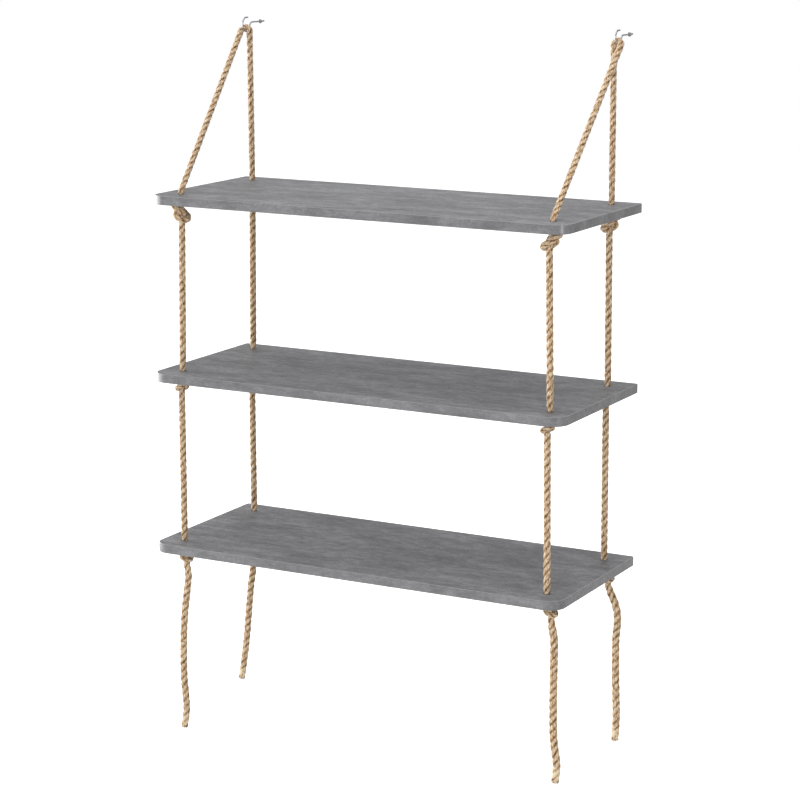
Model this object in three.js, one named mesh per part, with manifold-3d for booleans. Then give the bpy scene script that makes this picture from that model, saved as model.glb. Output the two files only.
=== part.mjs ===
// Hanging rope shelf with three boards on two knotted ropes, hung from two wall hooks.
// Millimetres, +X to the right, +Y into the wall, +Z up.
// The origin lies on the wall, midway between the hooks and level with their shanks.
import * as THREE from 'three';
import { mergeVertices } from 'three/addons/utils/BufferGeometryUtils.js';
import Module from 'manifold-3d';

// Boards
const board_length = 600;
const board_depth = 250;
const board_thickness = 12;
const front_corner_radius = 22;
const rear_corner_radius = 4;
const band_thickness = 1;
const band_gap = 0.3;
const wall_gap = 1;
const corner_steps = 6;

// Rope and the holes that it runs through
const rope_diameter = 8;
const rope_sides = 8;
const rope_end_sides = 10;
const rope_end_rings = 6;
const hole_clearance = 0.8;
const hole_sides = 16;
const hole_end_inset = 30;
const hole_edge_inset = 33;
const rope_gap = 0.3;

// How far the boards hang below the hooks and below each other, top face to top face
const top_drop = 217;
const middle_drop = 239;
const bottom_drop = 235;

// Wire hooks
const hook_spacing = 552;
const hook_reach = 38.5;
const wire_diameter = 2.2;
const wire_sides = 8;
const bowl_radius = 9.5;
const bowl_drop = 2.5;
const tip_length = 5;
const bowl_top_degrees = 90;
const bowl_end_degrees = 345;
const bowl_steps = 16;
const neck_steps = 4;
const wire_steps = 34;
const collar_diameter = 5.6;
const collar_thickness = 1.2;
const collar_taper = 0.8;
const screw_length = 12;
const screw_point = 3;
const collar_sides = 16;

// Rope over a hook, which is parted from the legs of its sling on a cylinder round the wire
const bight_gap = 0.5;
const parting_margin = 2.4;
const parting_sides = 32;
const bight_steps = 12;
const leg_steps = 1;

// Flexing points of the rope, each the middle of a round rope end
const mouth_height = 1.5;
const leg_rise = 2;
const knot_stub = 2;
const knot_taper_length = 5;

// Free ends of the ropes
const tail_steps = 14;

// Overhand knot as shares of its size, from its top to its middle on the +X side.
// The lower half is the upper half turned half a turn about X.
const knot_path_shares = [
  [0, 0, 1.4],
  [-0.05, 0.1, 0.75],
  [-0.55, 0.6, 0.05],
  [-1.1, 0.45, -0.45],
  [-1.25, -0.2, -0.9],
  [-0.85, -0.9, -1.2],
  [-0.1, -1.15, -1.15],
  [0.6, -0.95, -0.8],
  [0.95, -0.4, -0.3],
  [0.95, 0, 0],
];
const knot_steps = 36;

// How far each row of knots is drawn tight: its size as a share of the rope's diameter,
// its height as a share of the path's, and its strand's diameter as a share of its size
const knot_size_shares = { top: 0.92, middle: 0.72, bottom: 0.72 };
const knot_height_shares = { top: 1, middle: 0.8, bottom: 0.8 };
const knot_strand_shares = { top: 0.97, middle: 0.89, bottom: 0.89 };

// How far each knot is turned about its rope, in degrees
const knot_turns = {
  top: { left_front: 95, left_rear: 245, right_front: 275, right_rear: 260 },
  middle: { left_front: 265, left_rear: 280, right_front: 270, right_rear: 275 },
  bottom: { left_front: 90, left_rear: 265, right_front: 100, right_rear: 85 },
};

// How far each knot leans along X, as shares of its height
const knot_lean_shares = {
  top: { left_front: 0.05, left_rear: 0, right_front: -0.22, right_rear: -0.11 },
  middle: { left_front: -0.16, left_rear: -0.19, right_front: -0.25, right_rear: -0.15 },
  bottom: { left_front: 0.25, left_rear: -0.15, right_front: 0.25, right_rear: 0.25 },
};

// Routes of the four free ends below their last flexing points, as X, Y and drop from the hole's axis
const tail_routes = {
  left_front: [
    [4, 2, 14],
    [2, 1, 38],
    [-1, -0.5, 69],
    [-2.5, -1.5, 103],
    [-2.5, -1.5, 158],
    [-1, -0.5, 184],
    [0, 0, 207],
    [-3, -1.5, 232],
  ],
  left_rear: [
    [-1.5, -1, 45],
    [-5, -2.5, 79],
    [-8, -4, 119],
    [-10.5, -5.5, 155],
    [-14, -7.5, 188],
    [-17, -9, 214],
  ],
  right_front: [
    [6.5, 3, 10],
    [8.5, 4.5, 24],
    [9, 4.5, 53],
    [9, 4.5, 108],
    [10, 5, 153],
    [12, 6, 174],
    [14, 7.5, 192],
    [12.5, 6.5, 216],
  ],
  right_rear: [
    [8.5, 4.5, 11],
    [14.5, 7.5, 27],
    [17.5, 9, 46],
    [16, 8.5, 72],
    [16, 8.5, 92],
    [17, 9, 139],
    [18.5, 9.5, 185],
    [17.5, 9, 216],
  ],
};

// Finishes
const laminate = { color: 0x7e7f81, roughness: 0.6, metalness: 0 };
const edging = { color: 0x8f9092, roughness: 0.5, metalness: 0 };
const jute = { color: 0xc3a074, roughness: 0.9, metalness: 0 };
const zinc = { color: 0xb4b7bb, roughness: 0.35, metalness: 1 };

// Places worked out from the sizes above
const degree = Math.PI / 180;
const up = new THREE.Vector3(0, 0, 1);
const rope_radius = rope_diameter / 2;
const wire_radius = wire_diameter / 2;
const hole_radius = rope_radius + hole_clearance;
const hole_x = board_length / 2 - hole_end_inset;
const board_middle_y = -wall_gap - board_depth / 2;
const rear_hole_y = -wall_gap - hole_edge_inset;
const front_hole_y = -wall_gap - board_depth + hole_edge_inset;
const hole_y = { front: front_hole_y, rear: rear_hole_y };
const hook_x = hook_spacing / 2;
const bowl_y = -hook_reach;
const wire_low_z = -bowl_drop - bowl_radius;
const bight_radius = wire_radius + bight_gap + rope_radius;
const bight_top_z = wire_low_z + bight_radius;
const parting_radius = bight_radius + rope_radius + parting_margin;
const side_sign = { left: -1, right: 1 };
const stub_top_drop = rope_radius - mouth_height + rope_gap;
const board_tops = {
  top: -top_drop,
  middle: -top_drop - middle_drop,
  bottom: -top_drop - middle_drop - bottom_drop,
};

const kernel = await Module();
kernel.setup();

// Turns a closed geometry into a solid that can be joined and cut.
function solid(geometry) {
  const bare = geometry.clone();
  bare.deleteAttribute('normal');
  bare.deleteAttribute('uv');
  const merged = mergeVertices(bare);
  return new kernel.Manifold(
    new kernel.Mesh({
      numProp: 3,
      vertProperties: merged.attributes.position.array,
      triVerts: new Uint32Array(merged.index.array),
    }),
  );
}

// Turns a solid back into a geometry with flat facets.
function geometryOf(body) {
  const mesh = body.getMesh();
  const geometry = new THREE.BufferGeometry();
  geometry.setAttribute('position', new THREE.BufferAttribute(mesh.vertProperties, 3));
  geometry.setIndex(new THREE.BufferAttribute(mesh.triVerts, 1));
  geometry.computeVertexNormals();
  return geometry;
}

function namedMesh(name, geometry, finish) {
  const mesh = new THREE.Mesh(geometry, new THREE.MeshStandardMaterial(finish));
  mesh.name = name;
  return mesh;
}

// Points of a round section, in order.
function circle(radius, sides) {
  const points = [];
  for (let i = 0; i < sides; i += 1) {
    const angle = (2 * Math.PI * i) / sides;
    points.push(new THREE.Vector2(radius * Math.cos(angle), radius * Math.sin(angle)));
  }
  return points;
}

// Outline of a board seen from above, drawn in by a margin all round.
// The front corners are well rounded and the rear ones, against the wall, only eased.
function boardOutline(margin) {
  const corners = [
    [1, 1, rear_corner_radius],
    [-1, 1, rear_corner_radius],
    [-1, -1, front_corner_radius],
    [1, -1, front_corner_radius],
  ];
  const points = [];
  corners.forEach(([x_sign, y_sign, corner_radius], corner) => {
    const x = x_sign * (board_length / 2 - corner_radius);
    const y = y_sign * (board_depth / 2 - corner_radius);
    const radius = corner_radius - margin;
    for (let i = 0; i <= corner_steps; i += 1) {
      const angle = (corner + i / corner_steps) * (Math.PI / 2);
      points.push(new THREE.Vector2(x + radius * Math.cos(angle), y + radius * Math.sin(angle)));
    }
  });
  return points;
}

function slab(outline, holes) {
  const shape = new THREE.Shape(outline);
  shape.holes = holes.map((points) => new THREE.Path(points));
  const geometry = new THREE.ExtrudeGeometry(shape, { depth: board_thickness, bevelEnabled: false });
  geometry.translate(0, board_middle_y, -board_thickness);
  return geometry;
}

// Board core with its four rope holes.
function boardGeometry() {
  const holes = [];
  for (const sign of Object.values(side_sign)) {
    for (const y of Object.values(hole_y)) {
      const centre = new THREE.Vector2(sign * hole_x, y - board_middle_y);
      holes.push(circle(hole_radius, hole_sides).map((point) => point.add(centre)));
    }
  }
  return slab(boardOutline(band_thickness + band_gap), holes);
}

// Edge band glued round the board.
function bandGeometry() {
  return slab(boardOutline(0), [boardOutline(band_thickness)]);
}

// Tube of a round section along a curve.
function tube(curve, radius, sides, steps) {
  const section = new THREE.Shape(circle(radius, sides));
  return new THREE.ExtrudeGeometry(section, { steps, extrudePath: curve, bevelEnabled: false });
}

function ropeTube(points, steps) {
  return tube(new THREE.CatmullRomCurve3(points), rope_radius, rope_sides, steps);
}

// Round rope end whose middle is a flexing point.
function ropeEnd(centre) {
  const ball = new THREE.SphereGeometry(rope_radius, rope_end_sides, rope_end_rings);
  ball.rotateX(Math.PI / 2);
  ball.translate(centre.x, centre.y, centre.z);
  return solid(ball);
}

// Cylinder round the wire under a hook's bowl, on which a sling parts from its bight.
function partingCylinder(side, radius) {
  const length = 6 * rope_diameter;
  const cylinder = new THREE.CylinderGeometry(radius, radius, length, parting_sides);
  cylinder.translate(side_sign[side] * hook_x, bowl_y, wire_low_z);
  return solid(cylinder);
}

// Wire of a hook from its tip round the bowl and back to the wall.
function hookWirePoints() {
  const points = [];
  const centre_z = -bowl_drop;
  points.push(new THREE.Vector3(0, bowl_y + tip_length, centre_z + bowl_radius));
  for (let i = 0; i <= bowl_steps; i += 1) {
    const share = i / bowl_steps;
    const angle = (bowl_top_degrees + (bowl_end_degrees - bowl_top_degrees) * share) * degree;
    const y = bowl_y + bowl_radius * Math.cos(angle);
    points.push(new THREE.Vector3(0, y, centre_z + bowl_radius * Math.sin(angle)));
  }
  const start = points[points.length - 1];
  const lean = (bowl_end_degrees - 270) * degree;
  const neck_radius = -start.z / (1 - Math.cos(lean));
  const neck_y = start.y + neck_radius * Math.sin(lean);
  const neck_z = -neck_radius;
  for (let i = 1; i <= neck_steps; i += 1) {
    const angle = Math.PI / 2 + lean * (1 - i / neck_steps);
    const y = neck_y + neck_radius * Math.cos(angle);
    points.push(new THREE.Vector3(0, y, neck_z + neck_radius * Math.sin(angle)));
  }
  points.push(new THREE.Vector3(0, neck_y / 2, 0));
  points.push(new THREE.Vector3(0, -collar_thickness / 2, 0));
  return points;
}

// Screw hook with its collar against the wall and its screw behind the collar.
function hookGeometry(side) {
  const route = new THREE.CatmullRomCurve3(hookWirePoints());
  const wire = tube(route, wire_radius, wire_sides, wire_steps);
  const collar_radius = collar_diameter / 2;
  const profile = [
    [0, -collar_thickness - collar_taper],
    [wire_radius + rope_gap, -collar_thickness - collar_taper],
    [collar_radius, -collar_thickness],
    [collar_radius, 0],
    [wire_radius, 0],
    [wire_radius, screw_length - screw_point],
    [0, screw_length],
  ].map(([radius, y]) => new THREE.Vector2(radius, y));
  const collar = new THREE.LatheGeometry(profile, collar_sides);
  const hook = geometryOf(solid(wire).add(solid(collar)));
  hook.translate(side_sign[side] * hook_x, 0, 0);
  return hook;
}

// Bend of a leg where it stands up out of its hole in the top board.
function legElbow(side, end) {
  const height = board_tops.top + mouth_height + leg_rise;
  return new THREE.Vector3(side_sign[side] * hole_x, hole_y[end], height);
}

// Point of a bight, from its place outward of the hook and its height.
// Its outer half leans to the front hole and its inner half to the rear one.
function bightPoint(side, outward, z) {
  const elbow = legElbow(side, outward > 0 ? 'front' : 'rear');
  const fall = (bight_top_z - z) / (bight_top_z - elbow.z);
  const y = THREE.MathUtils.lerp(bowl_y, elbow.y, fall);
  return new THREE.Vector3(side_sign[side] * (hook_x + outward), y, z);
}

// Place where a leg's straight line starts, at the side of the wire.
function legStart(side, end) {
  const outward = end === 'front' ? 1 : -1;
  return bightPoint(side, outward * bight_radius, wire_low_z);
}

// Rope bent over the wire of a hook.
function bightGeometry(side) {
  const share = parting_radius / (wire_low_z - legElbow(side, 'front').z);
  const points = [];
  points.push(legStart(side, 'rear').lerp(legElbow(side, 'rear'), share));
  for (let i = 0; i <= bight_steps; i += 1) {
    const angle = Math.PI * (1 - i / bight_steps);
    const height = wire_low_z + bight_radius * Math.sin(angle);
    points.push(bightPoint(side, bight_radius * Math.cos(angle), height));
  }
  points.push(legStart(side, 'front').lerp(legElbow(side, 'front'), share));
  const rope = solid(ropeTube(points, bight_steps));
  return geometryOf(rope.intersect(partingCylinder(side, parting_radius)));
}

// Leg of a sling, straight from its bight to the mouth of its hole in the top board.
// The front leg leaves the outer end of the bight and the rear leg its inner end.
// Its round foot stands up out of the hole before the leg leans.
function legGeometry(side, end) {
  const elbow = legElbow(side, end);
  const rings = rope_end_rings / 2;
  const foot = new THREE.CapsuleGeometry(rope_radius, leg_rise, rings, rope_end_sides);
  foot.rotateX(Math.PI / 2);
  foot.translate(elbow.x, elbow.y, elbow.z - leg_rise / 2);
  const line = new THREE.LineCurve3(legStart(side, end), elbow);
  const rope = solid(tube(line, rope_radius, rope_sides, leg_steps)).add(solid(foot));
  return geometryOf(rope.subtract(partingCylinder(side, parting_radius + rope_gap)));
}

// Whole path of a knot about its own middle, upright.
function knotPath(tier) {
  const size = rope_diameter * knot_size_shares[tier];
  const height = size * knot_height_shares[tier];
  const upper = knot_path_shares.map(([x, y, z]) => new THREE.Vector3(x * size, y * size, z * height));
  const lower = upper.slice(0, -1).reverse();
  return [...upper, ...lower.map((point) => new THREE.Vector3(point.x, -point.y, -point.z))];
}

// Places along one row's knots, as drops below the top face of their board.
function knotDrops(tier) {
  const strand_radius = rope_radius * knot_size_shares[tier] * knot_strand_shares[tier];
  const loops = new THREE.CatmullRomCurve3(knotPath(tier).slice(1, -1));
  const heights = loops.getSpacedPoints(knot_steps).map((point) => point.z);
  const half_height = Math.max(...heights) + strand_radius;
  const centre = board_thickness + rope_gap + half_height;
  const end = centre + half_height + knot_stub;
  return { strand_radius, centre, end, pivot: end + rope_gap + rope_radius };
}

// Centre line of one knot, turned and leaning, from the top of its hole to the stub below it.
function knotPoints(tier, place) {
  const { centre, end } = knotDrops(tier);
  const path = knotPath(tier);
  const top = path[0].z;
  path.forEach((point) => {
    point.applyAxisAngle(up, knot_turns[tier][place] * degree);
    point.x += knot_lean_shares[tier][place] * (top - point.z);
    point.z -= centre;
  });
  const exit = path[path.length - 1];
  return [
    new THREE.Vector3(0, 0, -stub_top_drop),
    new THREE.Vector3(0, 0, -board_thickness),
    ...path,
    new THREE.Vector3(exit.x, exit.y, -end),
  ];
}

// Flexing point under a knot, from its hole's axis and the top face of its board.
function knotPivot(tier, place) {
  const points = knotPoints(tier, place);
  const pivot = points[points.length - 1];
  pivot.z = -knotDrops(tier).pivot;
  return pivot;
}

// Least gap of a knot to itself, between parts that lie apart along its rope.
function leastGap(tier, place) {
  const points = knotPoints(tier, place);
  const samples = new THREE.CatmullRomCurve3(points).getSpacedPoints(20 * points.length);
  const apart = Math.ceil((2 * rope_diameter) / samples[0].distanceTo(samples[1]));
  let least = Infinity;
  for (let i = 0; i < samples.length; i += 1) {
    for (let j = i + apart; j < samples.length; j += 1) {
      least = Math.min(least, samples[i].distanceTo(samples[j]));
    }
  }
  return least - 2 * knotDrops(tier).strand_radius;
}

// Rope through one hole with the overhand knot that the board rests on.
// Its strand is thinner in the knot and swells back to the rope's size at both ends.
function knotGeometry(tier, side, end) {
  const { strand_radius } = knotDrops(tier);
  const curve = new THREE.CatmullRomCurve3(knotPoints(tier, `${side}_${end}`));
  const rope = tube(curve, strand_radius, rope_sides, knot_steps);
  const centres = curve.getSpacedPoints(knot_steps);
  const length = curve.getLength();
  const in_hole = board_thickness - stub_top_drop;
  const position = rope.attributes.position;
  const point = new THREE.Vector3();
  for (let i = 0; i < position.count; i += 1) {
    point.fromBufferAttribute(position, i);
    const distances = centres.map((centre) => centre.distanceTo(point));
    const nearest = distances.indexOf(Math.min(...distances));
    const along = (length * nearest) / knot_steps;
    const inside = Math.min(along - in_hole, length - along - knot_stub);
    const tight = THREE.MathUtils.smoothstep(inside, 0, knot_taper_length);
    const radius = THREE.MathUtils.lerp(rope_radius, strand_radius, tight);
    const centre = centres[nearest];
    point.sub(centre).multiplyScalar(radius / strand_radius).add(centre);
    position.setXYZ(i, point.x, point.y, point.z);
  }
  rope.translate(side_sign[side] * hole_x, hole_y[end], board_tops[tier]);
  return rope;
}

// Straight stretch of rope between the knot under one board and the hole in the next.
function spanGeometry(upper_tier, lower_tier, side, end) {
  const top = knotPivot(upper_tier, `${side}_${end}`);
  top.z += board_tops[upper_tier];
  const bottom = new THREE.Vector3(0, 0, board_tops[lower_tier] + mouth_height);
  const along = top.clone().sub(bottom);
  const rings = rope_end_rings / 2;
  const span = new THREE.CapsuleGeometry(rope_radius, along.length(), rings, rope_sides);
  span.rotateX(Math.PI / 2);
  span.applyQuaternion(new THREE.Quaternion().setFromUnitVectors(up, along.normalize()));
  const middle = top.add(bottom).divideScalar(2);
  span.translate(side_sign[side] * hole_x + middle.x, hole_y[end] + middle.y, middle.z);
  return span;
}

// Free end of a rope below the bottom board.
function tailGeometry(side, end) {
  const place = `${side}_${end}`;
  const pivot = knotPivot('bottom', place);
  const route = tail_routes[place].map(
    ([across, back, drop]) => new THREE.Vector3(across, back, pivot.z - drop),
  );
  const points = [pivot, ...route];
  points.forEach((point) => {
    point.add(new THREE.Vector3(side_sign[side] * hole_x, hole_y[end], board_tops.bottom));
  });
  return geometryOf(solid(ropeTube(points, tail_steps)).add(ropeEnd(pivot)));
}

const shelf = new THREE.Group();

for (const [tier, height] of Object.entries(board_tops)) {
  const pieces = [
    namedMesh(`${tier}_board`, boardGeometry(), laminate),
    namedMesh(`${tier}_edge_band`, bandGeometry(), edging),
  ];
  for (const piece of pieces) {
    piece.position.z = height;
    shelf.add(piece);
  }
}

for (const side of Object.keys(side_sign)) {
  shelf.add(namedMesh(`${side}_wall_hook`, hookGeometry(side), zinc));
  shelf.add(namedMesh(`${side}_rope_over_hook`, bightGeometry(side), jute));
  for (const end of Object.keys(hole_y)) {
    const place = `${side}_${end}`;
    shelf.add(namedMesh(`${place}_sling_leg`, legGeometry(side, end), jute));
    for (const tier of Object.keys(board_tops)) {
      shelf.add(namedMesh(`${tier}_${place}_knot`, knotGeometry(tier, side, end), jute));
    }
    shelf.add(namedMesh(`upper_${place}_rope`, spanGeometry('top', 'middle', side, end), jute));
    shelf.add(namedMesh(`lower_${place}_rope`, spanGeometry('middle', 'bottom', side, end), jute));
    shelf.add(namedMesh(`${place}_tail`, tailGeometry(side, end), jute));
  }
}

for (const tier of Object.keys(board_tops)) {
  const gaps = Object.keys(knot_turns[tier]).map((place) => leastGap(tier, place));
  console.log(`least gap of a ${tier} knot to itself: ${Math.min(...gaps).toFixed(2)} mm`);
}

export default shelf;
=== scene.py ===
"""Hanging rope shelf: three laminate boards on two jute ropes that hang over wire hooks."""
import math
import random
from functools import lru_cache

import bmesh
import bpy
from bpy.props import (
    FloatProperty,
    FloatVectorProperty,
    IntProperty,
    PointerProperty,
)
from mathutils import Matrix, Vector
from mathutils.geometry import interpolate_bezier


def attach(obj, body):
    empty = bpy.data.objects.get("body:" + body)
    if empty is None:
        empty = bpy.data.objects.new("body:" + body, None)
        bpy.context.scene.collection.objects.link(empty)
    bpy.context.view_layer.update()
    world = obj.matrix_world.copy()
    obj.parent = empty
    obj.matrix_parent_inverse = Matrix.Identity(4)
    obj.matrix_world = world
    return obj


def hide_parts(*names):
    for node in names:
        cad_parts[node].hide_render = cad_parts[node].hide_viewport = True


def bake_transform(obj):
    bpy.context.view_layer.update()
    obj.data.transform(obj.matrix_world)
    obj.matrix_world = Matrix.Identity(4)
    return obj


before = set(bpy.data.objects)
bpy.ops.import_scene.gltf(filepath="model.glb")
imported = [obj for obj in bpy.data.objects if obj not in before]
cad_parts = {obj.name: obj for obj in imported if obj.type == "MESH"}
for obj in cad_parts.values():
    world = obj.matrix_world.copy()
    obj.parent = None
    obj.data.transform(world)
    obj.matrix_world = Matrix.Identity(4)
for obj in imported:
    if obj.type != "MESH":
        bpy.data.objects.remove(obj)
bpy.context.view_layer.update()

bl_info = {
    "name": "Hanging rope shelf",
    "version": (1, 0, 0),
    "blender": (4, 5, 0),
    "location": "3D View > Sidebar > Rope shelf",
    "description": "Builds the boards, ropes, knots and hooks of a hanging rope shelf",
    "category": "Object",
}

MM = 0.001
SIDES = {"left": -1, "right": 1}
ENDS = ("front", "rear")
PLACES = [(side, end) for side in SIDES for end in ENDS]
TIERS = ("top", "middle", "bottom")

# A rope's rings run down its front half and up its rear half.
DOWN = {"front": 1, "rear": -1}

# Places and sizes of the frame's parts, in millimetres, and two angles of the hooks' wire.
HOLE_X = 270.0
HOLE_Y = {"front": -218.0, "rear": -34.0}
BOARD_TOP = {"top": -217.0, "middle": -456.0, "bottom": -691.0}
BOARD_SIZE = (600.0, 250.0, 12.0)
BOARD_MIDDLE_Y = -126.0
HOOK_X = 276.0
BOWL_Y = -38.5
BOWL_RADIUS = 9.5
BOWL_Z = -2.5
WIRE_RADIUS = 1.1
WIRE_LOW_Z = BOWL_Z - BOWL_RADIUS
BIGHT_RADIUS = 5.6
BIGHT_TOP_Z = WIRE_LOW_Z + BIGHT_RADIUS
ROPE_RADIUS = 4.0
MOUTH = 1.5
LEG_RISE = 2.0
ELBOW_REACH = 9.0
STUB_TOP = 2.8
SEAM = 0.3
TIP_REACH = 5.0
BOWL_SWEEP = 255
NECK_LEAN = 75

# Collar and screw, turned from these: radius, and distance into the wall.
SCREW_PROFILE = [
    (0, -2.0), (1.45, -2.0), (1.7, -1.9), (2.6, -1.3), (2.8, -1.1), (2.8, -0.15),
    (2.65, 0), (0.9, 0), (0.85, 9.0), (0.6, 10.4), (0, 12.0),
]

# The overhand knot: its upper half as shares of its size, and how each one is drawn tight.
KNOT_PATH = [
    (0, 0, 1.4),
    (-0.05, 0.1, 0.75),
    (-0.55, 0.6, 0.05),
    (-1.1, 0.45, -0.45),
    (-1.25, -0.2, -0.9),
    (-0.85, -0.9, -1.2),
    (-0.1, -1.15, -1.15),
    (0.6, -0.95, -0.8),
    (0.95, -0.4, -0.3),
    (0.95, 0, 0),
]
KNOT_SIZE = {"top": 0.92, "middle": 0.72, "bottom": 0.72}
KNOT_HEIGHT = {"top": 1.0, "middle": 0.8, "bottom": 0.8}
KNOT_HALF = {"top": 12.49, "middle": 8.16, "bottom": 8.16}
KNOT_STRAND = {"top": 4.0, "middle": 3.15, "bottom": 3.15}
KNOT_STUB = 2.0
KNOT_TAPER = 5.0
KNOT_TURN = {
    "top": {"left_front": 95, "left_rear": 245, "right_front": 275, "right_rear": 260},
    "middle": {"left_front": 265, "left_rear": 280, "right_front": 270, "right_rear": 275},
    "bottom": {"left_front": 90, "left_rear": 265, "right_front": 100, "right_rear": 85},
}
KNOT_LEAN = {
    "top": {"left_front": 0.05, "left_rear": 0, "right_front": -0.22, "right_rear": -0.11},
    "middle": {"left_front": -0.16, "left_rear": -0.19, "right_front": -0.25, "right_rear": -0.15},
    "bottom": {"left_front": 0.25, "left_rear": -0.15, "right_front": 0.5, "right_rear": 0.5},
}

# How much fuller than the rope's usual size a piece is: a load draws a leg thin, and a
# free end has untwisted a little.
LEG_FULLNESS = -0.07
STRETCH_FULLNESS = 0.03
TAIL_FULLNESS = {"left": 0.12, "right": 0.19}
FULLNESS_EASE = 20.0

# Where a rope can swing in a hole, the hole's edge presses it narrower near its end, which
# leaves it room, and the end stops just short of the rope on the other side.
PRESSED_SHARE = 0.88
PRESS_EASE = (5, 10)
END_GAP = 0.6
END_EASE = 3

# Loose fibres keep away from a piece's ends, and more so from a hole, where they would reach
# into the board. They curl less off a fuller piece, so that they stay as near to its line.
FIBRE_MARGIN = 3
HOLE_MARGIN = 10
CURL_LOSS = 2.4

# The brush of fibres that stand out of a cut end, and where the zone above it frays: how far
# from the cut it grows and then fades.
BRUSH_FIBRES = 70
BRUSH_RADIUS = 3.6
BRUSH_DEPTH = 0.6
FRAY_GROWS = (2, 8)
FRAY_FADES = (9, 24)

# Two heights this near, in metres, are level.
LEVEL = 1e-5

# The camera, solved on the photograph: its lens and sensor and its place in millimetres, its
# yaw, pitch and roll in degrees, and how far its picture is moved down.
LENS = 111.6
SENSOR = 36.0
CAMERA_PLACE = (1498, -2984, 192)
CAMERA_TURN = (27.49, 10.75, 0.316)
CAMERA_SHIFT = -0.06

# Routes of the free ends below their knots: across, back and down from the hole's axis.
TAIL_ROUTE = {
    "left_front": [
        (4, 2, 14), (2, 1, 38), (-1, -0.5, 69), (-2.5, -1.5, 103),
        (-2.5, -1.5, 158), (-1, -0.5, 184), (0, 0, 207), (-3, -1.5, 232),
    ],
    "left_rear": [
        (-1.5, -1, 45), (-5, -2.5, 79), (-8, -4, 119), (-10.5, -5.5, 155),
        (-14, -7.5, 188), (-17, -9, 214),
    ],
    "right_front": [
        (6.5, 3, 10), (8.5, 4.5, 24), (9, 4.5, 53), (9, 4.5, 108),
        (10, 5, 153), (12, 6, 174), (14, 7.5, 192), (12.5, 6.5, 216),
    ],
    "right_rear": [
        (8.5, 4.5, 11), (14.5, 7.5, 27), (17.5, 9, 46), (16, 8.5, 72),
        (16, 8.5, 92), (17, 9, 139), (18.5, 9.5, 185), (17.5, 9, 216),
    ],
}


def linear(hex_colour):
    """Linear RGBA of an sRGB hex colour."""
    parts = [int(hex_colour[i:i + 2], 16) / 255 for i in (1, 3, 5)]
    return (*(c / 12.92 if c <= 0.04045 else ((c + 0.055) / 1.055) ** 2.4 for c in parts), 1.0)


def colour(name, description, default):
    """Colour property with a hex default."""
    return FloatVectorProperty(
        name=name, description=description, subtype="COLOR", size=4, min=0, max=1,
        default=linear(default),
    )


def distance(name, description, default):
    """Length property with a default in millimetres."""
    return FloatProperty(
        name=name, description=description, default=default * MM, unit="LENGTH"
    )


class BoardSettings(bpy.types.PropertyGroup):
    """Sizes and colours of the boards and their edge bands."""

    arris: distance("Arris", "Width of the broken edge of a band", 0.45)
    hole_arris: distance("Hole arris", "Width of the broken edge of a rope hole", 0.3)
    hole_radius: distance("Hole radius", "Radius of a rope hole", 4.8)
    band: distance("Band", "Thickness of the edge band", 1.0)
    front_corner: distance("Front corners", "Radius of a board's two front corners", 22.0)
    rear_corner: distance("Rear corners", "Radius of a board's two rear corners", 4.0)
    dark: colour("Dark grey", "Darkest streaks of the laminate", "#56565A")
    body: colour("Grey", "Main grey of the laminate", "#78787B")
    pale: colour("Pale grey", "Palest streaks of the laminate", "#9A9A9E")


class RopeSettings(bpy.types.PropertyGroup):
    """Sizes and colours of the jute rope."""

    lay: distance("Lay", "Length of one full turn of the three strands", 32.0)
    ring: distance("Ring", "Length of rope between two rings of the mesh", 1.5)
    strand_points: IntProperty(
        name="Strand points", description="Points round one strand", default=10, min=4, max=24,
    )
    fibre_gap: distance("Fibre gap", "Length of rope to each loose fibre", 2.4)
    fibre_radius: distance(
        "Fibre radius", "Radius of a loose fibre, drawn coarse enough to show", 0.07
    )
    # Crest and groove are a painted highlight on the strands' tops and painted shade deep between
    # them.
    crest: colour("Crest", "Sunlit fibres on top of the strands", "#F0DCBE")
    body: colour("Jute", "Main colour of the jute", "#C2A07B")
    groove_shade: colour("Groove", "Deep between the strands", "#503924")


class HookSettings(bpy.types.PropertyGroup):
    """Sizes and colours of the wire hooks."""

    wire_points: IntProperty(
        name="Wire points", description="Points round the wire", default=20, min=8, max=48,
    )
    thread_pitch: distance(
        "Thread pitch", "Distance between two turns of the screw's thread", 1.25
    )
    zinc: colour("Zinc", "Bright zinc plating of the wire", "#CDD0D6")
    collar: colour("Collar", "Duller steel of the collar", "#A6A8AC")


class StageSettings(bpy.types.PropertyGroup):
    """Floor and light of the stage."""

    floor_drop: distance("Floor", "Height of the floor below the hooks", 1350.0)
    floor: colour("Floor", "Pale floor", "#D4D4D2")
    key: FloatProperty(name="Left light", description="Power of the left light", default=215.0)
    rim: FloatProperty(name="Right light", description="Power of the right light", default=11.0)
    top: FloatProperty(name="Top light", description="Power of the top light", default=21.0)
    front: FloatProperty(name="Front light", description="Power of the front light", default=31.0)


def feed(tree, node, inputs):
    """Set some of a node's inputs to values, or link them to other nodes' outputs."""
    for name, value in inputs.items():
        socket = node.inputs[name]
        if isinstance(value, bpy.types.NodeSocket):
            tree.links.new(value, socket)
        else:
            socket.default_value = value


def add_node(tree, kind, inputs=None, stops=None, **settings):
    """Add one node, with its settings, its input values or links, and a ramp's stops."""
    made = tree.nodes.new(kind)
    for name, value in settings.items():
        setattr(made, name, value)
    feed(tree, made, inputs or {})
    for i, (place, value) in enumerate(stops or ()):
        points = made.color_ramp.elements
        point = points[i] if i < len(points) else points.new(place)
        point.position = place
        point.color = value
    return made


def new_material(name):
    """Empty node material with its shader and output joined."""
    material = bpy.data.materials.new(name)
    material.use_nodes = True
    tree = material.node_tree
    tree.nodes.clear()
    shader = add_node(tree, "ShaderNodeBsdfPrincipled")
    add_node(tree, "ShaderNodeOutputMaterial", {"Surface": shader.outputs["BSDF"]})
    return material, tree, shader


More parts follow.
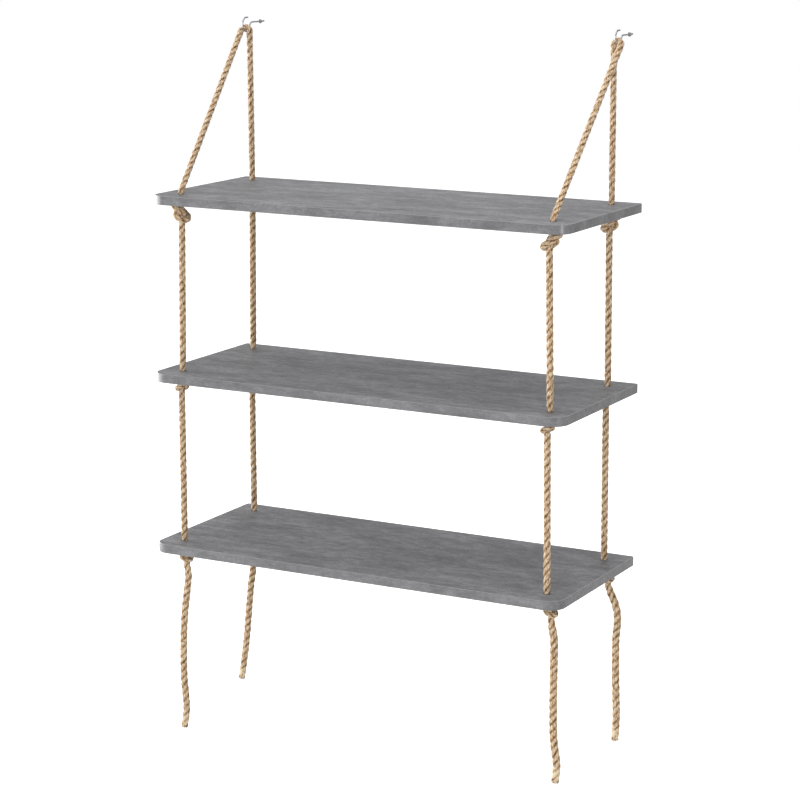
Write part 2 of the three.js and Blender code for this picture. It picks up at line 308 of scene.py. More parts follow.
def noise(tree, place, scale, detail, roughness):
    """Noise at one scale, or at one for each axis."""
    if isinstance(scale, tuple):
        place = add_node(tree, "ShaderNodeMapping", {"Vector": place, "Scale": scale}).outputs[0]
        scale = 1.0
    return add_node(
        tree, "ShaderNodeTexNoise",
        {"Vector": place, "Scale": scale, "Detail": detail, "Roughness": roughness},
    ).outputs["Fac"]


def mapped(tree, value, low, high, first=0.0, last=1.0):
    """Value between low and high as one between first and last."""
    return add_node(
        tree, "ShaderNodeMapRange",
        {"Value": value, "From Min": low, "From Max": high, "To Min": first, "To Max": last},
    ).outputs[0]


def times_plus(tree, value, factor, added):
    """Value times a factor, plus another value."""
    return add_node(
        tree, "ShaderNodeMath", {0: value, 1: factor, 2: added}, operation="MULTIPLY_ADD"
    ).outputs[0]


def ramp(tree, share, *stops):
    """Colour at a share of the way along its stops."""
    return add_node(tree, "ShaderNodeValToRGB", {"Fac": share}, stops=stops).outputs["Color"]


def attribute(tree, name):
    """Outputs of an attribute of the mesh."""
    return add_node(
        tree, "ShaderNodeAttribute", attribute_name=name, attribute_type="GEOMETRY"
    ).outputs


def dress(tree, shader, height, strength, distance, inputs):
    """Give a shader its inputs and the relief of a height."""
    relief = {"Height": height, "Strength": strength, "Distance": distance}
    bump = add_node(tree, "ShaderNodeBump", relief).outputs[0]
    feed(tree, shader, {**inputs, "Normal": bump})


def laminate_pattern(tree, settings, stretch, width):
    """Colour and height of the printed stone decor: clouds, streaks and fine specks."""
    place = add_node(tree, "ShaderNodeTexCoord").outputs["Object"]
    # Streaks about 8 mm wide and 15 mm long run along the board.
    streaks = noise(tree, place, (70.0 / stretch, 130.0, 130.0), 6.0, 0.68)
    # Clouds about 70 mm long and 25 mm wide make one board differ from end to end.
    clouds = noise(tree, place, (14.0, 40.0, 40.0), 5.0, 0.6)
    # Specks of about 3 mm are the print's own grain.
    specks = noise(tree, place, 330.0, 4.0, 0.75)
    height = times_plus(tree, specks, 0.9, times_plus(tree, streaks, 1.0, clouds))
    share = mapped(tree, height, 1.42 - width, 1.43 + width)
    tint = ramp(tree, share, (0.0, settings.dark), (0.5, settings.body), (1.0, settings.pale))
    return tint, height


@lru_cache(maxsize=None)
def stone_laminate():
    """Melamine laminate with a printed concrete decor, pressed satin.

    It looks grey and faintly streaked, with a broad dull sheen and no grain to the touch.
    """
    settings = bpy.context.scene.shelf_boards
    material, tree, shader = new_material("Concrete decor melamine laminate")
    tint, height = laminate_pattern(tree, settings, 1.0, 0.31)
    satin = mapped(tree, height, 0.8, 1.6, 0.42, 0.56)
    inputs = {"Base Color": tint, "Roughness": satin, "IOR": 1.5}
    dress(tree, shader, height, 0.25, 0.00008, inputs)
    return material


@lru_cache(maxsize=None)
def edge_banding():
    """ABS edge band in the same decor, trimmed and polished.

    It is a little smoother than the face, so the round corners carry a long pale highlight.
    Its faces turn a paler grey where they look upwards: a painted highlight that shows its
    broken top edge as a thin light line.
    """
    settings = bpy.context.scene.shelf_boards
    material, tree, shader = new_material("Concrete decor ABS edge band")
    tint, height = laminate_pattern(tree, settings, 1.4, 0.5)
    # Painted highlight: where the band's faces look upwards, on its top arris and top edge, its
    # colour turns to a paler grey.
    shape = add_node(tree, "ShaderNodeNewGeometry")
    facing = add_node(tree, "ShaderNodeSeparateXYZ", {"Vector": shape.outputs["Normal"]})
    faces_up_highlight = mapped(tree, facing.outputs["Z"], 0.25, 0.8)
    highlighted_tint = add_node(
        tree, "ShaderNodeMix", {0: faces_up_highlight, 6: tint, 7: linear("#A2A3A6")}, data_type="RGBA"
    )
    satin = mapped(tree, height, 0.8, 1.6, 0.3, 0.42)
    dress(tree, shader, height, 0.2, 0.00006, {
        "Base Color": highlighted_tint.outputs[2], "Roughness": satin,
        "Coat Weight": 0.6, "Coat Roughness": 0.27,
    })
    return material


@lru_cache(maxsize=None)
def jute():
    """Three-strand jute rope, hawser laid and unpolished.

    It is straw coloured and matt, with fibres that run nearly along the rope and a pale fuzz
    that catches the light. Painted shade darkens the grooves between the strands, and a
    painted highlight lightens the strands' tops.
    """
    settings = bpy.context.scene.shelf_rope
    material, tree, shader = new_material("Hawser laid jute rope")
    # "rope_rest" holds each point's place in the straight rope, in millimetres.
    rest = attribute(tree, "rope_rest")["Vector"]
    flat = add_node(
        tree, "ShaderNodeVectorMath", {0: rest, 1: (1.0, 1.0, 0.0)}, operation="MULTIPLY"
    )
    radius = add_node(
        tree, "ShaderNodeVectorMath", {0: flat.outputs[0]}, operation="LENGTH"
    )
    # How far a point stands out from the rope's middle: it drives the painted shade deep in the
    # grooves and the painted highlight on the strands' tops.
    height = mapped(tree, radius.outputs["Value"], 3.6, 4.4, 0.0, 1.5)
    # Bundles of fibres 2 mm wide and 5 mm long, coarse enough to show, lie along the rope.
    fibres = noise(tree, rest, (0.5, 0.5, 0.2), 4.0, 0.75)
    # Yarns about 1.3 mm wide give each strand a few soft ridges.
    yarns = noise(tree, rest, (0.8, 0.8, 0.06), 1.0, 0.5)
    # Bundles of paler and browner stalks change along 20 to 40 mm.
    tones = noise(tree, rest, (0.16, 0.16, 0.045), 2.0, 0.6)
    lit = times_plus(tree, fibres, 7.0, height)
    toned = times_plus(tree, tones, 0.6, lit)
    # "rope_fray" is high just short of a cut end, where bleached fibres have worked loose.
    fray = attribute(tree, "rope_fray")["Fac"]
    share = mapped(tree, times_plus(tree, fray, 0.8, toned), 3.35, 5.85)
    # The ramp runs from painted shade in the grooves through the jute's own colour to a painted
    # highlight on the strands' tops, broken up by the fibres, tones and fray.
    tint = ramp(
        tree, share, (0.0, settings.groove_shade), (0.28, linear("#846340")), (0.6, settings.body),
        (1.0, settings.crest),
    )
    dress(tree, shader, times_plus(tree, yarns, 1.6, fibres), 0.9, 0.0004, {
        "Base Color": tint, "Roughness": 0.86, "IOR": 1.5, "Specular IOR Level": 0.25,
        "Sheen Weight": 0.3, "Sheen Roughness": 0.5,
    })
    return material


def zinc_plate(name, bloom_scale, tints, roughness, strength):
    """Zinc plated steel whose bloom changes its tint and its gloss."""
    material, tree, shader = new_material(name)
    place = add_node(tree, "ShaderNodeTexCoord").outputs["Object"]
    bloom = noise(tree, place, bloom_scale, 3.0, 0.6)
    dull = mapped(tree, bloom, 0.3, 0.7, *roughness)
    tint = ramp(tree, bloom, (0.3, tints[0]), (0.7, tints[1]))
    inputs = {"Base Color": tint, "Roughness": dull, "Metallic": 1.0}
    dress(tree, shader, bloom, strength, 0.00003, inputs)
    return material


@lru_cache(maxsize=None)
def zinc_wire():
    """Steel wire with bright zinc plating.

    It is silvery and even, with a soft mottle in its tint and gloss and slightly blurred
    reflections.
    """
    # The bloom is about 2 mm.
    tints = linear("#B0B3B8"), bpy.context.scene.shelf_hooks.zinc
    return zinc_plate("Bright zinc plated wire", 500.0, tints, (0.18, 0.34), 0.15)


@lru_cache(maxsize=None)
def collar_steel():
    """Turned steel collar and rolled screw, zinc plated and left dull.

    It looks a little darker and more blurred than the wire, with a faint grain.
    """
    # The grain is about 1 mm.
    tints = linear("#808286"), bpy.context.scene.shelf_hooks.collar
    return zinc_plate("Dull zinc plated steel", 900.0, tints, (0.34, 0.5), 0.2)


def finished(name, bm, *materials, smooth=True):
    """Object of a finished bmesh, in the scene and at the origin."""
    mesh = bpy.data.meshes.new(name)
    bm.to_mesh(mesh)
    bm.free()
    for material in materials:
        mesh.materials.append(material)
    mesh.polygons.foreach_set("use_smooth", [smooth] * len(mesh.polygons))
    piece = bpy.data.objects.new(name, mesh)
    bpy.context.collection.objects.link(piece)
    return piece


def close(bm):
    """Fill a bmesh's open rims and turn its faces outwards."""
    bmesh.ops.holes_fill(bm, edges=[e for e in bm.edges if e.is_boundary], sides=0)
    bmesh.ops.recalc_face_normals(bm, faces=bm.faces)


def join(bm, part):
    """Move the whole of one bmesh into another."""
    mesh = bpy.data.meshes.new("part")
    part.to_mesh(mesh)
    part.free()
    bm.from_mesh(mesh)
    bpy.data.meshes.remove(mesh)


def bevel(bm, edges, width, segments, clamp_overlap=False):
    """Round some edges."""
    bmesh.ops.bevel(
        bm, geom=edges, offset=width, offset_type="OFFSET", affect="EDGES",
        segments=segments, profile=0.5, material=-1, clamp_overlap=clamp_overlap,
    )


# Rope


def through(points, steps=10):
    """Points on one smooth curve through the given ones, with even speed at each."""
    ends = [2 * points[0] - points[1], *points, 2 * points[-1] - points[-2]]
    line = []
    for before, a, b, after in zip(ends, ends[1:], ends[2:], ends[3:]):
        gap_in = (a - before).length ** 0.5
        gap = (b - a).length ** 0.5
        gap_out = (after - b).length ** 0.5
        out = ((a - before) / gap_in - (b - before) / (gap_in + gap) + (b - a) / gap) * gap
        into = ((b - a) / gap - (after - a) / (gap + gap_out) + (after - b) / gap_out) * gap
        line += interpolate_bezier(a, a + out / 3, b - into / 3, b, steps + 1)[:-1]
    return [*line, points[-1]]


def straight(a, b, gap=2.0):
    """Points on a straight line, about one gap apart, with both ends."""
    count = max(1, round((b - a).length / gap))
    return [a.lerp(b, i / count) for i in range(count + 1)]


def running_lengths(line):
    """Length of a line up to each of its points."""
    lengths = [0.0]
    for a, b in zip(line, line[1:]):
        lengths.append(lengths[-1] + (b - a).length)
    return lengths


def smoothstep(value, low, high):
    """Smooth share of the way from low to high."""
    share = min(1.0, max(0.0, (value - low) / (high - low)))
    return share * share * (3 - 2 * share)


def bight_point(side, outward, height):
    """Point of the rope at the hook, whose outer half leans to the front hole."""
    end = "front" if outward > 0 else "rear"
    elbow_z = BOARD_TOP["top"] + MOUTH + LEG_RISE
    fall = (BIGHT_TOP_Z - height) / (BIGHT_TOP_Z - elbow_z)
    y = BOWL_Y + (HOLE_Y[end] - BOWL_Y) * fall
    return Vector((SIDES[side] * (HOOK_X + outward), y, height))


def knot_line(tier, place):
    """Centre line of one knot, from the hole's mouth to its stub, from the hole's axis."""
    size = 2 * ROPE_RADIUS * KNOT_SIZE[tier]
    height = size * KNOT_HEIGHT[tier]
    upper = [Vector((x * size, y * size, z * height)) for x, y, z in KNOT_PATH]
    lower = [Vector((p.x, -p.y, -p.z)) for p in reversed(upper[:-1])]
    turn = Matrix.Rotation(math.radians(KNOT_TURN[tier][place]), 3, "Z")
    path = [turn @ p for p in (*upper, *lower)]
    top = upper[0].z
    centre = BOARD_SIZE[2] + SEAM + KNOT_HALF[tier]
    for point in path:
        point.x += KNOT_LEAN[tier][place] * (top - point.z)
        point.z -= centre
    foot = Vector((path[-1].x, path[-1].y, -(centre + KNOT_HALF[tier] + KNOT_STUB)))
    return through([Vector((0, 0, -STUB_TOP)), Vector((0, 0, -BOARD_SIZE[2])), *path, foot], 8)


def half_run(side, end):
    """Stretches of one rope from the hook down one end: node, points and strand radius."""
    place = f"{side}_{end}"
    axis = Vector((SIDES[side] * HOLE_X, HOLE_Y[end], 0))
    outward = BIGHT_RADIUS if end == "front" else -BIGHT_RADIUS
    start = bight_point(side, outward, WIRE_LOW_Z)
    elbow = axis + Vector((0, 0, BOARD_TOP["top"] + MOUTH + LEG_RISE))
    above = elbow + ELBOW_REACH * (start - elbow).normalized()
    mouth = axis + Vector((0, 0, BOARD_TOP["top"] - STUB_TOP))
    bend = interpolate_bezier(above, elbow, elbow, mouth, 14)
    runs = [(f"{place}_sling_leg", [*straight(start, above), *bend[1:]], None)]
    below = {"top": "upper", "middle": "lower"}
    for tier, lower in zip(TIERS, (*TIERS[1:], None)):
        base = axis + Vector((0, 0, BOARD_TOP[tier]))
        knot = [base + p for p in knot_line(tier, place)]
        runs.append((f"{tier}_{place}_knot", knot, KNOT_STRAND[tier]))
        foot = knot[-1]
        pivot = foot - Vector((0, 0, SEAM + ROPE_RADIUS))
        if lower:
            hole = axis + Vector((0, 0, BOARD_TOP[lower] + MOUTH))
            deep = axis + Vector((0, 0, BOARD_TOP[lower] - STUB_TOP))
            line = [foot, *straight(pivot, hole), deep]
            runs.append((f"{below[tier]}_{place}_rope", line, None))
        else:
            route = [
                axis + Vector((x, y, pivot.z - drop)) for x, y, drop in TAIL_ROUTE[place]
            ]
            runs.append((f"{place}_tail", [foot, *through([pivot, *route])], None))
    return runs


@lru_cache(maxsize=None)
def laid_rope(side):
    """One whole rope as rings: place, way, across and radius of each, and each node's rings.

    It runs from its rear free end up over the hook and down to its front free end.
    The rope's own length counts the rings, so a knot drawn tight has a tighter lay.
    """
    rear = [(node, line[::-1], radius) for node, line, radius in half_run(side, "rear")[::-1]]
    arc, steps = [], 24
    for i in range(steps + 1):
        angle = math.pi * (1 - i / steps)
        height = WIRE_LOW_Z + BIGHT_RADIUS * math.sin(angle)
        arc.append(bight_point(side, BIGHT_RADIUS * math.cos(angle), height))
    runs = [*rear, (f"{side}_rope_over_hook", arc, None), *half_run(side, "front")]
    points, radii, starts = [], [], {}
    for node, line, strand in runs:
        starts[node] = max(0, len(points) - 1)
        lengths = running_lengths(line)
        downward = "_rear_" not in node
        for point, along in zip(line, lengths):
            if points and (point - points[-1]).length < 1e-4:
                continue
            radius = ROPE_RADIUS
            if strand:
                from_top = along if downward else lengths[-1] - along
                inside = min(
                    from_top - (BOARD_SIZE[2] - STUB_TOP), lengths[-1] - from_top - KNOT_STUB
                )
                radius += (strand - ROPE_RADIUS) * smoothstep(inside, 0, KNOT_TAPER)
            points.append(point)
            radii.append(radius)
    return rings_along(points, radii, starts)


def rings_along(points, radii, starts):
    """Even rings along a line of points, with frames that turn no more than the line does."""
    ring = bpy.context.scene.shelf_rope.ring / MM
    along = [0.0]
    for (a, b), radius in zip(zip(points, points[1:]), radii):
        along.append(along[-1] + (b - a).length * ROPE_RADIUS / radius)
    count = int(along[-1] / ring)
    places, sizes = [], []
    k = 0
    for i in range(count + 1):
        while k < len(along) - 2 and along[k + 1] < i * ring:
            k += 1
        share = (i * ring - along[k]) / (along[k + 1] - along[k])
        places.append(points[k].lerp(points[k + 1], share))
        sizes.append(radii[k] + (radii[k + 1] - radii[k]) * share)
    ways = [
        (places[min(i + 1, count)] - places[max(i - 1, 0)]).normalized()
        for i in range(count + 1)
    ]
    across = [ways[0].orthogonal().normalized()]
    for a, b in zip(ways, ways[1:]):
        turned = a.rotation_difference(b) @ across[-1]
        across.append((turned - b * turned.dot(b)).normalized())
    begins = {node: round(along[i] / ring) for node, i in starts.items()}
    order = sorted(begins, key=begins.get)
    spans = {a: (begins[a], begins[b]) for a, b in zip(order, order[1:])}
    spans[order[-1]] = (begins[order[-1]], count)
    return places, ways, across, sizes, spans


def lobed(angle):
    """Radius of the three-strand outline at an angle, its strands pressed into each other."""
    third = 2 * math.pi / 3
    off = (angle + third / 2) % third - third / 2
    middle, strand = 1.35, 3.2
    return middle * math.cos(off) + math.sqrt(strand ** 2 - (middle * math.sin(off)) ** 2)


def straight_rope(first, last):
    """Straight three-strand rope between two rings, made by one screw sweep, closed."""
    settings = bpy.context.scene.shelf_rope
    ring, turn = settings.ring / MM, 2 * math.pi * settings.ring / settings.lay
    bm = bmesh.new()
    bmesh.ops.create_circle(
        bm, cap_ends=False, segments=3 * settings.strand_points, radius=ROPE_RADIUS
    )
    for vert in bm.verts:
        vert.co *= lobed(math.atan2(vert.co.y, vert.co.x)) / ROPE_RADIUS
    bmesh.ops.rotate(
        bm, verts=bm.verts, cent=(0, 0, 0), matrix=Matrix.Rotation(turn * first, 3, "Z")
    )
    bmesh.ops.translate(bm, verts=bm.verts, vec=(0, 0, ring * first))
    steps = last - first
    bmesh.ops.spin(
        bm, geom=bm.edges[:], cent=(0, 0, 0), axis=(0, 0, 1), dvec=(0, 0, ring),
        angle=turn * steps, steps=steps, use_duplicate=False,
    )
    close(bm)
    return bm


def add_fibres(bm, first, last, spread, down, in_hole, free, fullness):
    """Loose fibres that curl off the straight rope, and the brush of a cut free end."""
    settings = bpy.context.scene.shelf_rope
    ring = settings.ring / MM
    turn = 2 * math.pi * ring / (settings.lay / MM)
    radius = settings.fibre_radius / MM
    low = ring * first + (HOLE_MARGIN if in_hole and down < 0 else FIBRE_MARGIN)
    high = ring * last - (HOLE_MARGIN if in_hole and down > 0 else FIBRE_MARGIN)
    curl = 1 - CURL_LOSS * max(fullness, 0)
    jobs = []
    for _ in range(int((high - low) / (settings.fibre_gap / MM))):
        height = spread.uniform(low, high)
        angle = spread.uniform(0, 2 * math.pi)
        surface = lobed(angle - turn * height / ring) - 0.1
        outward = Vector((math.cos(angle), math.sin(angle), 0))
        root = outward * surface + Vector((0, 0, height))
        swing = math.radians(spread.choice((0, 180)) + spread.gauss(0, 28))
        way = Vector((0, 0, math.cos(swing))) + outward.cross(Vector((0, 0, 1))) * math.sin(swing)
        bend = curl * spread.uniform(3.0, 4.8)
        jobs.append((root, way, outward, bend, spread.uniform(0.5, 1.0)))
    if free:
        face, way = ring * (last if down > 0 else first), Vector((0, 0, down))
        for _ in range(BRUSH_FIBRES):
            angle = spread.uniform(0, 2 * math.pi)
            outward = Vector((math.cos(angle), math.sin(angle), 0))
            reach = BRUSH_RADIUS * math.sqrt(spread.random())
            root = outward * reach + Vector((0, 0, face - BRUSH_DEPTH * down))
            jobs.append((root, way, outward, spread.uniform(6, 12), spread.uniform(0.2, 0.4)))
    for root, way, outward, bend, sweep in jobs:
        loop = bmesh.ops.create_circle(
            bm, cap_ends=False, segments=3, radius=radius,
            matrix=Matrix.Translation(root) @ way.to_track_quat("Z", "X").to_matrix().to_4x4(),
        )["verts"]
        edges = list({e for v in loop for e in v.link_edges})
        bmesh.ops.spin(
            bm, geom=[*loop, *edges], cent=root + outward * bend, axis=way.cross(outward),
            angle=sweep, steps=4, use_duplicate=False,
        )


def ring_frame(rope, height):
    """Middle, way, across and scale of a laid rope at a height, counted in rings."""
    places, ways, across, sizes, _ = rope
    slot = min(max(int(height + 1e-6), 0), len(places) - 2)
    share = height - slot
    inside = min(max(share, 0.0), 1.0)
    way = ways[slot].lerp(ways[slot + 1], inside).normalized()
    side_way = across[slot].lerp(across[slot + 1], inside)
    side_way = (side_way - way * side_way.dot(way)).normalized()
    middle = places[slot] + (places[slot + 1] - places[slot]) * share
    scale = (sizes[slot] + (sizes[slot + 1] - sizes[slot]) * min(share, 1.0)) / ROPE_RADIUS
    return middle, way, side_way, scale


def rope_piece(node, side, end="front", in_hole=False, free=False, fullness=0.0):
    """Rope piece that stands for one rope node, and its line from its upper end down.

    Its lower end can be free, or in a hole where it can swing.
    """
    rope = laid_rope(side)
    ring = bpy.context.scene.shelf_rope.ring / MM
    first, last = rope[-1][node]
    down = DOWN[end]
    low_end = last if down > 0 else first
    held_ends = [i for i in (first, last) if not (free and i == low_end)]
    bm = straight_rope(first, last)
    fuzz = bmesh.new()
    add_fibres(fuzz, first, last, random.Random(node), down, in_hole, free, fullness)
    close(fuzz)
    join(bm, fuzz)
    rest = bm.verts.layers.float_vector.new("rope_rest")
    fray = bm.verts.layers.float.new("rope_fray")
    for vert in bm.verts:
        vert[rest] = vert.co
        x, y, z = vert.co
        gap = abs(z - ring * low_end)
        if free:
            vert[fray] = smoothstep(gap, *FRAY_GROWS) * (1 - smoothstep(gap, *FRAY_FADES))
        middle, way, side_way, scale = ring_frame(rope, z / ring)
        full = fullness
        for held in held_ends:
            full *= smoothstep(abs(z - ring * held), 0, FULLNESS_EASE)
        scale *= 1 + full
        if in_hole:
            scale *= PRESSED_SHARE + (1 - PRESSED_SHARE) * smoothstep(gap, *PRESS_EASE)
            middle = middle - way * (END_GAP * down * (1 - smoothstep(gap, 0, END_EASE)))
            if gap < ROPE_RADIUS:
                scale *= math.sqrt(max(0.05, 1 - (1 - gap / ROPE_RADIUS) ** 2))
        vert.co = (middle + (side_way * x + way.cross(side_way) * y) * scale) * MM
    piece = finished(node.replace("_rope_over_hook", "_bight") + "_laid", bm, jute())
    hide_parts(node)
    return piece, [place * MM for place in rope[0][first:last + 1]][::down]


def blend_over(piece):
    """Bake a stretch's place into its mesh; it is put on no body."""
    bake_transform(piece)


class SHELF_OT_ropes_over_hooks(bpy.types.Operator):
    """Make the two bends of rope that sit on the hooks"""

    bl_idname = "shelf.ropes_over_hooks"
    bl_label = "Ropes over the hooks"

    def execute(self, context):
        for side in SIDES:
            piece, _ = rope_piece(f"{side}_rope_over_hook", side)
            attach(piece, "hung_ropes")
        return {"FINISHED"}


class SHELF_OT_sling_legs(bpy.types.Operator):
    """Make the four legs of rope from the hooks to the top board"""

    bl_idname = "shelf.sling_legs"
    bl_label = "Sling legs"

    def execute(self, context):
        for side, end in PLACES:
            piece, line = rope_piece(
                f"{side}_{end}_sling_leg", side, end, in_hole=True, fullness=LEG_FULLNESS
            )
            blend_over(piece)
        return {"FINISHED"}


class SHELF_OT_knots(bpy.types.Operator):
    """Make the twelve overhand knots and the rope in their holes"""

    bl_idname = "shelf.knots"
    bl_label = "Knots"

    def execute(self, context):
        for tier in TIERS:
            for side, end in PLACES:
                piece, _ = rope_piece(f"{tier}_{side}_{end}_knot", side)
                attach(piece, f"{tier}_tier")
        return {"FINISHED"}


class SHELF_OT_rope_stretches(bpy.types.Operator):
    """Make the eight stretches of rope between the boards"""

    bl_idname = "shelf.rope_stretches"
    bl_label = "Rope stretches"

    def execute(self, context):
        for level, tier in (("upper", "top"), ("lower", "middle")):
            for side, end in PLACES:
                piece, line = rope_piece(
                    f"{level}_{side}_{end}_rope", side, end, in_hole=True,
                    fullness=STRETCH_FULLNESS,
                )
                blend_over(piece)
        return {"FINISHED"}


class SHELF_OT_free_ends(bpy.types.Operator):
    """Make the four free rope ends below the bottom board"""

    bl_idname = "shelf.free_ends"
    bl_label = "Free rope ends"

    def execute(self, context):
        for side, end in PLACES:
            piece, route = rope_piece(
                f"{side}_{end}_tail", side, end, free=True, fullness=TAIL_FULLNESS[side]
            )
            blend_over(piece)
        return {"FINISHED"}


# Boards


def rise(edge):
    """Difference in height between an edge's two ends."""
    return abs(edge.verts[0].co.z - edge.verts[1].co.z)


def rounded_plate(margin, reach):
    """Closed plate with a board's outline, pulled in by a margin and reaching past its faces."""
    settings = bpy.context.scene.shelf_boards
    bm = bmesh.new()
    bmesh.ops.create_cube(bm, size=1.0)
    length, depth, thickness = (v * MM for v in BOARD_SIZE)
    bmesh.ops.scale(
        bm, verts=bm.verts,
        vec=(length - 2 * margin, depth - 2 * margin, thickness + 2 * reach),
    )
    upright = [e for e in bm.edges if rise(e) > thickness / 2]
    for edges, radius in (
        ([e for e in upright if e.verts[0].co.y < 0], settings.front_corner),
        ([e for e in upright if e.verts[0].co.y > 0], settings.rear_corner),
    ):
        bevel(bm, edges, radius - margin, 20)
    return bm


def cut(name, body, tools, material):
    """Body less its tools, by exact booleans, as a finished object's bmesh."""
    piece = finished(name, body, material)
    for i, tool in enumerate(tools):
        cutter = finished(f"{name}_cutter_{i}", tool)
        step = piece.modifiers.new("cut", "BOOLEAN")
        step.operation, step.solver, step.object = "DIFFERENCE", "EXACT", cutter
        bpy.context.view_layer.update()
        graph = bpy.context.evaluated_depsgraph_get()
        mesh = bpy.data.meshes.new_from_object(piece.evaluated_get(graph))
        piece.modifiers.clear()
        piece.data = mesh
        bpy.data.objects.remove(cutter)
    bm = bmesh.new()
    bm.from_mesh(piece.data)
    bpy.data.objects.remove(piece)
    bmesh.ops.remove_doubles(bm, verts=bm.verts, dist=1e-6)
    bmesh.ops.recalc_face_normals(bm, faces=bm.faces)
    return bm


def flat_faces(piece):
    """Smooth the rounds, and keep the arrises from bending the shading of the flat faces."""
    bm = bmesh.new()
    bm.from_mesh(piece.data)
    for face in bm.faces:
        face.smooth = abs(face.normal.z) < 0.999
    for edge in bm.edges:
        upright = {abs(face.normal.z) < 0.01 for face in edge.link_faces}
        edge.smooth = len(upright) == 1 and edge.calc_face_angle(0) < math.radians(35)
    bm.to_mesh(piece.data)
    bm.free()


def in_place(name, bm, tier, material):
    """Finished part of a board, moved to the board's place."""
    middle_z = BOARD_TOP[tier] - BOARD_SIZE[2] / 2
    bmesh.ops.translate(bm, verts=bm.verts, vec=Vector((0, BOARD_MIDDLE_Y, middle_z)) * MM)
    piece = finished(name, bm, material)
    flat_faces(piece)
    return piece


class SHELF_OT_boards(bpy.types.Operator):
    """Make the three boards with their rope holes"""

    bl_idname = "shelf.boards"
    bl_label = "Boards"

    def execute(self, context):
        settings = context.scene.shelf_boards
        radius = settings.hole_radius
        centres = [
            Vector((SIDES[side] * HOLE_X, HOLE_Y[end] - BOARD_MIDDLE_Y, 0)) * MM
            for side, end in PLACES
        ]
        for tier in TIERS:
            holes = []
            for centre in centres:
                hole = bmesh.new()
                bmesh.ops.create_cone(
                    hole, cap_ends=True, segments=32, radius1=radius, radius2=radius,
                    depth=2 * BOARD_SIZE[2] * MM,
                )
                bmesh.ops.translate(hole, verts=hole.verts, vec=centre)
                holes.append(hole)
            bm = cut(f"{tier}_core", rounded_plate(settings.band, 0), holes, stone_laminate())
            rims = [
                e for e in bm.edges
                if rise(e) < LEVEL
                and abs(abs(e.verts[0].co.z) - BOARD_SIZE[2] * MM / 2) < LEVEL
                and e.calc_length() < 2 * radius
                and min((e.verts[0].co.xy - c.xy).length for c in centres) < radius * 1.02
            ]
            bevel(bm, rims, settings.hole_arris, 3)
            piece = in_place(f"{tier}_board_panel", bm, tier, stone_laminate())
            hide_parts(f"{tier}_board")
            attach(piece, f"{tier}_tier")
        return {"FINISHED"}


class SHELF_OT_edge_bands(bpy.types.Operator):
    """Make the three edge bands"""

    bl_idname = "shelf.edge_bands"
    bl_label = "Edge bands"

    def execute(self, context):
        settings = context.scene.shelf_boards
        for tier in TIERS:
            inner = rounded_plate(settings.band, 0.002)
            bm = cut(f"{tier}_strip", rounded_plate(0, 0), [inner], edge_banding())
            outer = [
                e for e in bm.edges
                if len(e.link_faces) == 2 and e.calc_face_angle(0) > math.radians(60)
                and rise(e) < LEVEL
                and outside(e, settings)
            ]
            bevel(bm, outer, settings.arris, 3)
            piece = in_place(f"{tier}_edge_strip", bm, tier, edge_banding())
            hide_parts(f"{tier}_edge_band")
            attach(piece, f"{tier}_tier")
        return {"FINISHED"}


def outside(edge, settings):
    """Whether a band's level edge is on its outer side, where its upright face looks outwards."""
    middle = (edge.verts[0].co + edge.verts[1].co) / 2
    upright = next((f for f in edge.link_faces if abs(f.normal.z) < 0.5), None)
    if upright is None:
        return False
    half_length = (BOARD_SIZE[0] / 2) * MM - settings.front_corner
    core = Vector((max(-half_length, min(half_length, middle.x)), 0, 0))
    return upright.normal.dot(Vector((middle.x - core.x, middle.y, 0))) > 0


# Hooks


def hook_line():
    """Centre line of a hook's wire, from its tip round the bowl and back to the wall."""
    points = [Vector((0, BOWL_Y + TIP_REACH, BOWL_Z + BOWL_RADIUS))]
    for i in range(17):
        angle = math.radians(90 + BOWL_SWEEP * i / 16)
        points.append(Vector((
            0, BOWL_Y + BOWL_RADIUS * math.cos(angle), BOWL_Z + BOWL_RADIUS * math.sin(angle),
        )))
    last = points[-1]
    lean = math.radians(NECK_LEAN)
    bend = -last.z / (1 - math.cos(lean))
    neck_y = last.y + bend * math.sin(lean)
    for i in range(1, 5):
        angle = math.pi / 2 + lean * (1 - i / 4)
        points.append(Vector((0, neck_y + bend * math.cos(angle), bend * (math.sin(angle) - 1))))
    return through([*points, Vector((0, neck_y / 2, 0)), Vector((0, -0.6, 0))], 4)


def bent_wire(line, radius, count):
    """Closed round wire along a line that lies in the YZ plane, with a rounded tip."""
    bm = bmesh.new()
    lengths = running_lengths(line)
    bmesh.ops.create_circle(bm, cap_ends=False, segments=count, radius=radius)
    edges = bm.edges[:]
    for a, b in zip(lengths, lengths[1:]):
        made = bmesh.ops.extrude_edge_only(bm, edges=edges)["geom"]
        edges = [g for g in made if isinstance(g, bmesh.types.BMEdge) and g.is_boundary]
        verts = [g for g in made if isinstance(g, bmesh.types.BMVert)]
        bmesh.ops.translate(bm, verts=verts, vec=(0, 0, b - a))
    bmesh.ops.holes_fill(bm, edges=[e for e in bm.edges if e.is_boundary], sides=0)
    tip = [
        e for e in bm.edges
        if all(abs(v.co.z) < 1e-6 for v in e.verts) and not e.is_boundary
    ]
    bevel(bm, tip, 0.55 * radius, 4, clamp_overlap=True)
    for vert in bm.verts:
        x, y, z = vert.co
        slot = next((i for i, l in enumerate(lengths[1:]) if l >= z - 1e-6), len(line) - 2)
        share = (z - lengths[slot]) / (lengths[slot + 1] - lengths[slot])
        before = line[min(slot + 1, len(line) - 1)] - line[max(slot - 1, 0)]
        after = line[min(slot + 2, len(line) - 1)] - line[slot]
        way = before.normalized().lerp(after.normalized(), share).normalized()
        middle = line[slot].lerp(line[slot + 1], share)
        vert.co = middle + Vector((1, 0, 0)) * x + way.cross(Vector((1, 0, 0))) * y
    bmesh.ops.recalc_face_normals(bm, faces=bm.faces)
    return bm


